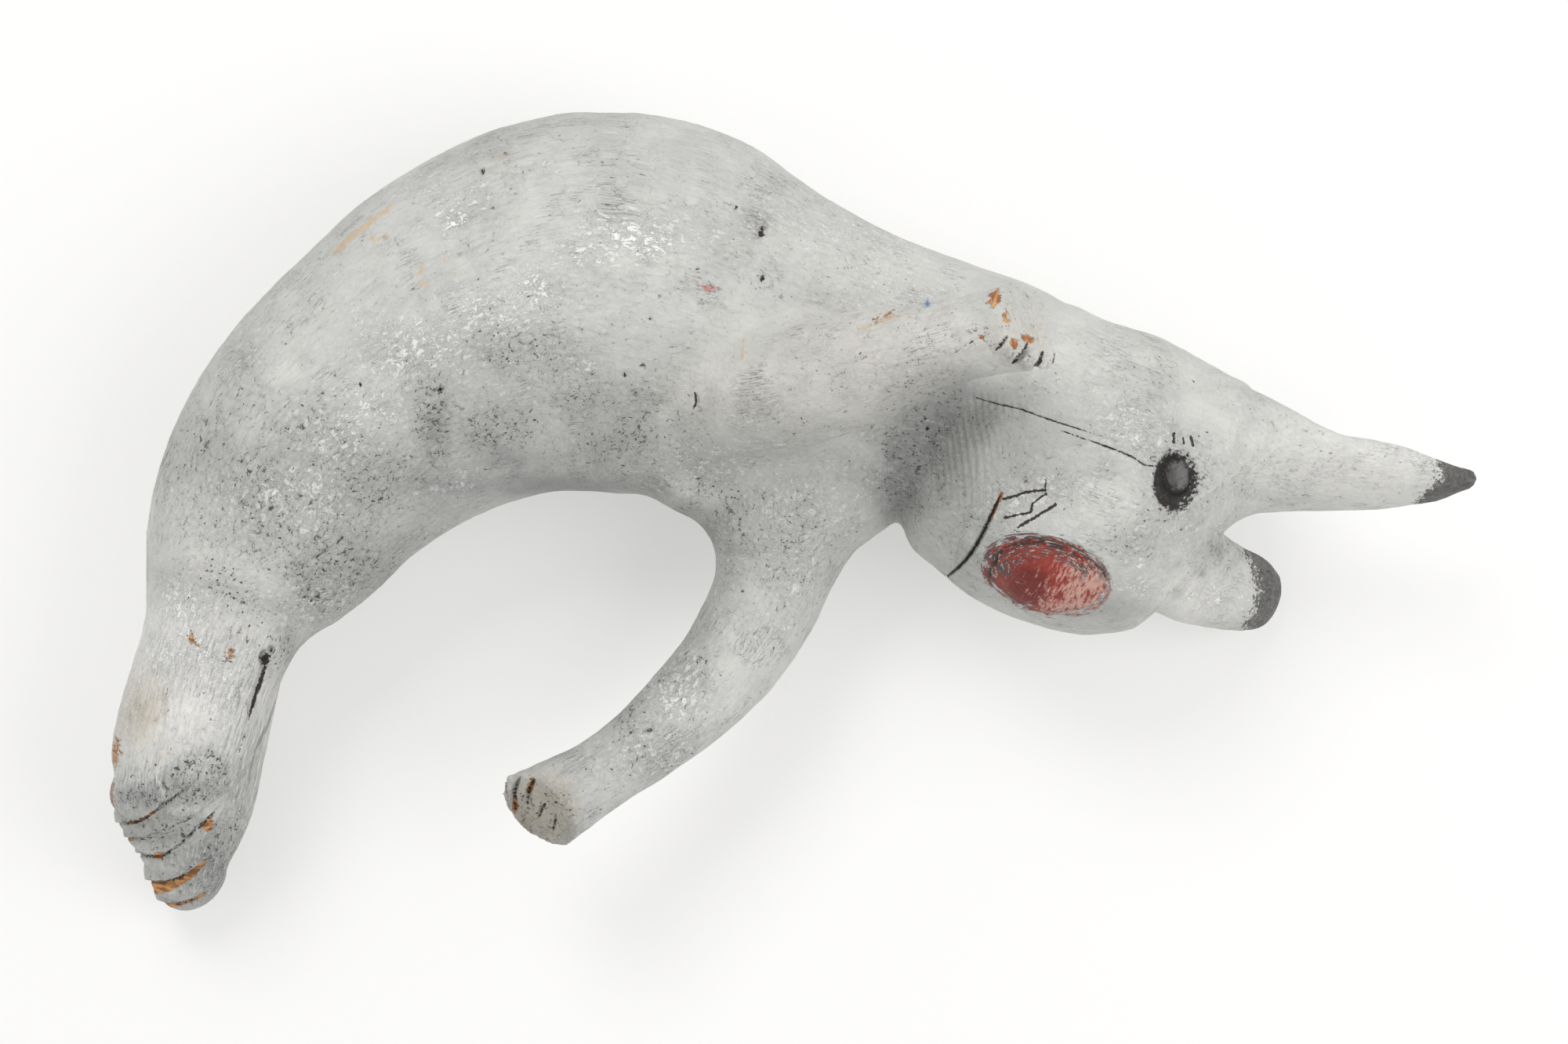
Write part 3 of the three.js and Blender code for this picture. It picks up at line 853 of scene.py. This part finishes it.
# How thick a crowd of marks is: the highest of its hills.
def crowdAt(crowd, places):
    return np.max([most * inHill(places, (x, y), (wide, tall)) for x, y, wide, tall, most in crowd], axis=0)


# Writes where the paint changes into the mesh, as one number or direction for each point.
def markRabbit(piece):
    here = points, normals, places = skinOf(piece.data)
    long, wide = inOval(redNose, places)
    reach = np.hypot(long, wide) + 1e-6
    seen = within(redNose["height"], points, normals, leastUp["spots"])
    ring = ease(*redNose["ringWide"], np.abs(reach - redNose["ring"]))
    core = np.linalg.norm(places - redNose["core"], axis=1) / redNose["coreSize"]
    hollows, balls = zip(*[eyeReach(points, one) for one in eyes])
    grain, sure = grainOf(points)
    marks = {
        "noseEdge": np.where(seen, np.clip(1 - reach, -1, 1), -1),
        "noseRound": np.stack([long / reach, wide / reach, 5 * reach], 1),
        "noseTopRing": ring * ease(0.4, -0.2, wide + 0.45 * long) * seen,
        "redCore": np.exp(-core**2),
        "redWorn": ease(-0.5, 0.7, long + 0.2 * wide),
        "redSmudge": strongest(redSpots, here),
        "blueSpeck": strongest(blueSpeck, here),
        "tipEdge": inTips(points, places),
        "eyeEdge": np.maximum(1 - np.min(hollows, axis=0), -1),
        "ballEdge": np.maximum(1 - np.min(balls, axis=0), -1),
        "ink": inkAndShadeAt(here),
        "ochre": ochreAt(here),
        "bareWood": bareAt(here),
        "tanStain": strongest(tanSpots, here, 0.6),
        **{name: crowdAt(crowd, places) for name, crowd in crowds.items()},
        "grain": grain * mm,
        "sure": sure,
    }
    for name, values in marks.items():
        kind, key = ("FLOAT_VECTOR", "vector") if values.ndim == 2 else ("FLOAT", "value")
        made = piece.data.attributes.new(name, kind, "POINT")
        made.data.foreach_set(key, values.astype(np.float32).ravel())


paint = {
    "light": (0.60, 0.60, 0.572), "grey": (0.51, 0.515, 0.492), "dark": (0.32, 0.325, 0.315),
    "paleAndPaintedLight": (0.80, 0.79, 0.755), "white": (0.90, 0.90, 0.88), "pit": (0.06, 0.06, 0.06),
    "bare": (0.74, 0.38, 0.14), "bareDark": (0.34, 0.13, 0.04), "tan": (0.58, 0.50, 0.37),
    "ochre": (0.62, 0.44, 0.25), "deepRed": (0.20, 0.024, 0.017), "red": (0.34, 0.045, 0.03),
    "pink": (0.62, 0.36, 0.30), "black": (0.085, 0.082, 0.077), "blackHigh": (0.19, 0.186, 0.178),
    "eye": (0.05, 0.043, 0.04), "ball": (0.14, 0.137, 0.135), "ink": (0.05, 0.038, 0.032),
    "smudge": (0.55, 0.16, 0.11), "blue": (0.1, 0.22, 0.42),
}
coat = {"relief": 0.0007, "rough": 0.45, "gloss": 0.4}  # relief in metres

# The noises in the paint: waves in a metre, detail, roughness and distortion. Three numbers for the
# waves are those along the grain, across it and under it, or round the nose.
noises = {
    "patches": (24, 4, 0.6), "dryPatches": (33, 4, 0.65), "rugged": (45, 3, 0.6),
    "scratched": (60, 3, 0.6), "blotches": (85, 5, 0.65, 0.8), "spread": (150, 2, 0.5),
    "crumbs": (500, 9, 0.76, 0.9), "smears": (520, 5, 0.7), "spatter": (560, 6, 0.78),
    "chips": (620, 5, 0.72), "holes": (760, 1.6, 0.45, 0.4), "grit": (1250, 4, 0.65),
    "streaks": ((60, 520, 520), 5, 0.65), "crumbRows": ((420, 540, 540), 9, 0.76, 0.9),
    "fibres": ((110, 1150, 1150), 6, 0.72), "scratches": ((60, 900, 900), 4, 0.6),
    "rings": ((1000, 220, 220), 2, 0.4), "brushed": ((900, 260, 260), 6, 0.7),
    "smudges": ((700, 1300, 1300), 5, 0.7), "ridges": ((140, 1300, 1300), 5, 0.6),
    "arcs": (3, 7, 0.75, 0.5), "gaps": ((3, 3, 2.4), 7, 0.72, 0.4), "paintedGlints": (5, 5, 0.7),
}


# Adds nodes to a material. Inputs are values or other nodes' sockets.
class Shader:
    def __init__(self, name):
        self.material = bpy.data.materials.new(name)
        self.material.use_nodes = True
        self.tree = self.material.node_tree
        self.tree.nodes.clear()
        self.tone = None  # the colour so far

    def put(self, socket, value):
        if isinstance(value, bpy.types.NodeSocket):
            self.tree.links.new(value, socket)
        else:
            socket.default_value = value

    def add(self, kind, inputs=None, output=0, **settings):
        made = self.tree.nodes.new("ShaderNode" + kind)
        for name, value in settings.items():
            setattr(made, name, value)
        for name, value in (inputs or {}).items():
            self.put(made.inputs[name], value)
        return made.outputs[output] if made.outputs else None

    def math(self, operation, a, b=0.0, c=0.0, clamp=False):
        return self.add("Math", {0: a, 1: b, 2: c}, operation=operation, use_clamp=clamp)

    def times(self, a, *more):
        for b in more:
            a = self.math("MULTIPLY", a, b)
        return a

    def minus(self, a, b):
        return self.math("SUBTRACT", a, b)

    # A value times another, plus a third.
    def scaled(self, value, by, plus, clamp=False):
        return self.math("MULTIPLY_ADD", value, by, plus, clamp)

    def mark(self, name, output="Fac"):
        return self.add("Attribute", output=output, attribute_name=name)

    def ease(self, low, high, value):
        inputs = {"Value": value, "From Min": low, "From Max": high}
        return self.add("MapRange", inputs, interpolation_type="SMOOTHSTEP")

    def noise(self, vector, name):
        waves, detail, rough, distort = (*noises[name], 0.0)[:4]
        if isinstance(waves, tuple):
            vector = self.add("VectorMath", {0: vector, 1: waves}, operation="MULTIPLY")
            waves = 1
        inputs = {"Vector": vector, "Scale": waves, "Detail": detail, "Roughness": rough, "Distortion": distort}
        return self.add("TexNoise", inputs)

    # A mix of two colours, each a name in the paint or a socket.
    def mix(self, share, a, b):
        made = self.tree.nodes.new("ShaderNodeMix")
        made.data_type = "RGBA"
        self.put(made.inputs[0], share)
        for socket, colour in ((made.inputs[6], a), (made.inputs[7], b)):
            self.put(socket, (*paint[colour], 1) if isinstance(colour, str) else colour)
        return made.outputs[2]

    # Lays a colour over what is there, as thick as the product of some shares.
    def cover(self, colour, *shares):
        self.tone = self.mix(self.times(*shares), self.tone, colour)


def paintedWood():
    s = Shader("paintedWood")
    place = s.add("TexCoord", output="Object")
    grain, roundNose = s.mark("grain", "Vector"), s.mark("noseRound", "Vector")
    sure, pitted, chalky, fibrous = [s.mark(name) for name in ("sure", "pitted", "chalky", "fibrous")]

    # Grey paint in patches, with paler and darker paint and painted light and shade, streaked along the limbs.
    blotches = s.noise(place, "blotches")
    uneven = s.scaled(blotches, 0.8, -0.4)
    s.tone = s.mix(s.ease(0.38, 0.62, s.noise(place, "patches")), "grey", "light")
    # Pale paint, and painted light on the ears, the thigh, the rump and the right foreleg.
    s.cover("paleAndPaintedLight", s.math("ADD", s.mark("paleAndPaintedLight"), uneven, clamp=True))
    s.cover("dark", s.ease(0.5, 0.7, blotches), 0.22)
    s.cover("dark", s.ease(0.5, 0.72, s.noise(grain, "streaks")), sure, 0.22)
    # Dark paint, and painted shade in the neck's hollow, under the belly and beside the right forefoot.
    s.cover("dark", s.ease(0.1, 1.0, s.math("ADD", s.mark("darkAndPaintedShade"), uneven)), 0.85)

    # The crust of the paint, rugged in crowds: dry white on its high spots, and painted shade in its low ones.
    rugged = s.math("ADD", s.scaled(s.noise(place, "rugged"), 1.5, -0.62), pitted, clamp=True)
    crumbs = s.noise(place, "crumbs")
    crust = s.scaled(s.minus(s.noise(grain, "crumbRows"), crumbs), sure, crumbs)
    level = s.scaled(s.noise(place, "grit"), 0.22, s.minus(crust, 0.11))
    dry = s.scaled(s.ease(0.5, 0.72, s.noise(place, "dryPatches")), 0.5, s.times(chalky, 0.9), clamp=True)
    white = s.ease(0.49, 0.55, s.scaled(dry, 0.07, s.minus(level, 0.04)))
    s.cover("white", white, s.scaled(dry, 0.95, 0.05, clamp=True))
    s.cover("dark", s.ease(0.49, 0.42, level), s.scaled(rugged, 0.4, 0.12))
    s.cover("tan", s.mark("tanStain"), s.scaled(s.ease(0.3, 0.6, blotches), 0.6, 0.4))

    # Fibres of the wood, bared along the hind legs, and fine scratches elsewhere.
    fibre = s.noise(grain, "fibres")
    s.cover("dark", s.ease(0.5, 0.36, fibre), s.times(fibrous, 0.75))
    s.cover("white", s.ease(0.52, 0.66, fibre), s.times(fibrous, 0.8))
    line = s.ease(0.012, 0.003, s.math("ABSOLUTE", s.minus(s.noise(grain, "scratches"), 0.5)))
    line = s.times(line, s.ease(0.52, 0.64, s.noise(place, "scratched")), sure)
    s.cover("pit", line, 0.45)

    # Pits: cracks between the crumbs of the crust, and round holes that crowd together.
    crack = s.ease(0.008, -0.008, s.minus(level, s.scaled(rugged, 0.065, 0.345)))
    spread = s.scaled(s.noise(place, "spread"), 0.28, s.scaled(rugged, 0.13, 0.045))
    pit = s.math("MAXIMUM", crack, s.ease(0.008, -0.012, s.minus(s.noise(place, "holes"), spread)))
    s.cover("pit", pit, 0.9)
    ochre = s.scaled(s.noise(place, "smears"), 1.6, s.minus(s.mark("ochre"), 0.8))
    s.cover("ochre", s.ease(0.25, 0.7, ochre), 0.65)

    # Bare wood where the paint has chipped, its edge broken up, with dark growth rings.
    bare = s.mark("bareWood")
    wood = s.mix(s.ease(0.4, 0.62, s.noise(grain, "rings")), "bare", "bareDark")
    chip = s.scaled(s.noise(place, "chips"), 3.2, s.minus(bare, 1.6))
    chip = s.times(chip, s.ease(0, 0.12, bare))
    s.cover("pit", s.ease(0.4, 0.5, chip), s.ease(0.62, 0.5, chip))
    chipped = s.ease(0.5, 0.56, chip)
    s.cover(wood, chipped)

    # The nose: red strokes along its edge, worn to pink at one side, dark gaps, and painted highlights as
    # glints.
    arcs = s.noise(roundNose, "arcs")
    brushed = s.noise(grain, "brushed")
    red = s.mix(s.ease(0.35, 0.75, s.mark("redCore")), "red", "deepRed")
    worn = s.scaled(brushed, 4.5, s.minus(s.mark("redWorn"), 2.6))
    red = s.mix(s.ease(0.1, 0.8, worn), red, "pink")
    red = s.mix(s.times(s.ease(0.5, 0.34, brushed), 0.6), red, "deepRed")
    reddened = s.ease(-0.03, 0.05, s.scaled(s.minus(arcs, 0.5), 1.2, s.mark("noseEdge")))
    s.cover(red, reddened)
    ring = s.mark("noseTopRing")
    s.cover("black", s.ease(0.49, 0.53, s.noise(roundNose, "gaps")), s.times(ring, 0.95))
    # Painted highlights: light glints on the nose's upper ring.
    s.cover("light", s.ease(0.43, 0.39, s.noise(roundNose, "paintedGlints")), ring)
    smudge = s.scaled(s.noise(grain, "smudges"), 2, s.minus(s.mark("redSmudge"), 1.0))
    s.cover("smudge", s.ease(0.5, 0.7, smudge), 0.8)

    # Black ear tips and eyes with spattered edges, a greyer ball in each eye, and inked lines with painted
    # shade.
    spatter = s.minus(s.noise(place, "spatter"), 0.5)
    black = s.mix(s.ease(0.4, 0.62, crust), "black", "blackHigh")
    s.cover(black, s.ease(-0.1, 0.3, s.scaled(spatter, 22.0, s.mark("tipEdge"))))
    eyeBlack = s.mix(s.ease(0.5, 0.62, crust), "eye", "black")
    s.cover(eyeBlack, s.ease(-0.02, 0.04, s.scaled(spatter, 2.0, s.mark("eyeEdge"))))
    ball = s.ease(-0.2, 0.3, s.scaled(spatter, 2.5, s.mark("ballEdge")))
    s.cover(s.mix(s.ease(0.42, 0.58, blotches), "eye", "ball"), ball)
    s.cover("blue", s.mark("blueSpeck"))
    # Ink, and painted shade in the cuts and under the toes' edges.
    ink = s.mark("ink")
    inkAndShadeLevel = s.scaled(s.ease(0.42, 0.58, level), -0.85, s.minus(ink, 0.06))
    s.cover("ink", s.ease(-0.12, 0.12, inkAndShadeLevel), s.ease(0, 0.3, ink))

    # Height of the surface: crumbs of paint, brush ridges along the limbs, fibres, pits and chips.
    height = s.times(level, s.scaled(rugged, 1.6, 0.6))
    for layer, high in (
        (s.times(s.noise(grain, "ridges"), sure), 0.35), (s.times(fibre, fibrous), 0.8),
        (s.times(white, dry), 0.2), (pit, -0.5), (line, -0.2), (chipped, -0.15), (s.times(reddened, arcs), 0.8),
    ):
        height = s.scaled(layer, high, height)
    height = s.times(height, s.scaled(ball, -0.7, 1.0))
    rough = s.scaled(ball, -0.25, s.scaled(level, 0.3, coat["rough"]))
    s.add("OutputMaterial", {"Surface": s.add("BsdfPrincipled", {
        "Base Color": s.tone, "Roughness": rough, "Specular IOR Level": coat["gloss"],
        "Normal": s.add("Bump", {"Strength": 1.0, "Distance": coat["relief"], "Height": height}),
    })})
    return s.material


# The stage: the floor's reach from the middle in millimetres, and the lamps with their power, place
# and size in metres, all aimed at one point.
stage = {
    "floor": (0.525, 0.521, 0.512), "glow": 0.39, "sky": 0.68, "reach": 6000, "aim": (0, 0, 0.05),
    "lamps": [("key", 14.5, (-0.5, 1.1, 1.65), 0.8), ("fill", 11.5, (1.2, -0.1, 1.4), 1.2)],
}


# A white sheet lit a little from below, as a light table is.
def lightTable():
    s = Shader("lightTable")
    sheet = s.add("BsdfPrincipled", {
        "Base Color": (*stage["floor"], 1), "Roughness": 0.9,
        "Emission Color": (1, 1, 0.99, 1), "Emission Strength": stage["glow"],
    })
    s.add("OutputMaterial", {"Surface": sheet})
    return s.material


def setStage():
    corners = np.array([(-1, -1, 0), (1, -1, 0), (1, 1, 0), (-1, 1, 0)])
    floor = meshObject("floor", corners * stage["reach"], [(0, 1, 2, 3)])
    floor.data.materials.append(lightTable())
    for name, power, at, width in stage["lamps"]:
        light = bpy.data.lights.new(name, "AREA")
        light.energy = power
        light.size = width
        lamp = bpy.data.objects.new(name, light)
        lamp.location = at
        lamp.rotation_euler = (Vector(stage["aim"]) - Vector(at)).to_track_quat("-Z", "Y").to_euler()
        bpy.context.collection.objects.link(lamp)
    world = bpy.data.worlds.new("studio")
    world.use_nodes = True
    background = world.node_tree.nodes["Background"].inputs
    background["Color"].default_value = (1, 1, 1, 1)
    background["Strength"].default_value = stage["sky"]
    bpy.context.scene.world = world
    bpy.context.scene.view_settings.view_transform = "Standard"


setCamera()
rabbit = carveRabbit()
markRabbit(rabbit)
rabbit.data.materials.append(paintedWood())
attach(rabbit, "root")
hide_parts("rabbit")
setStage()
print("painted and lit")
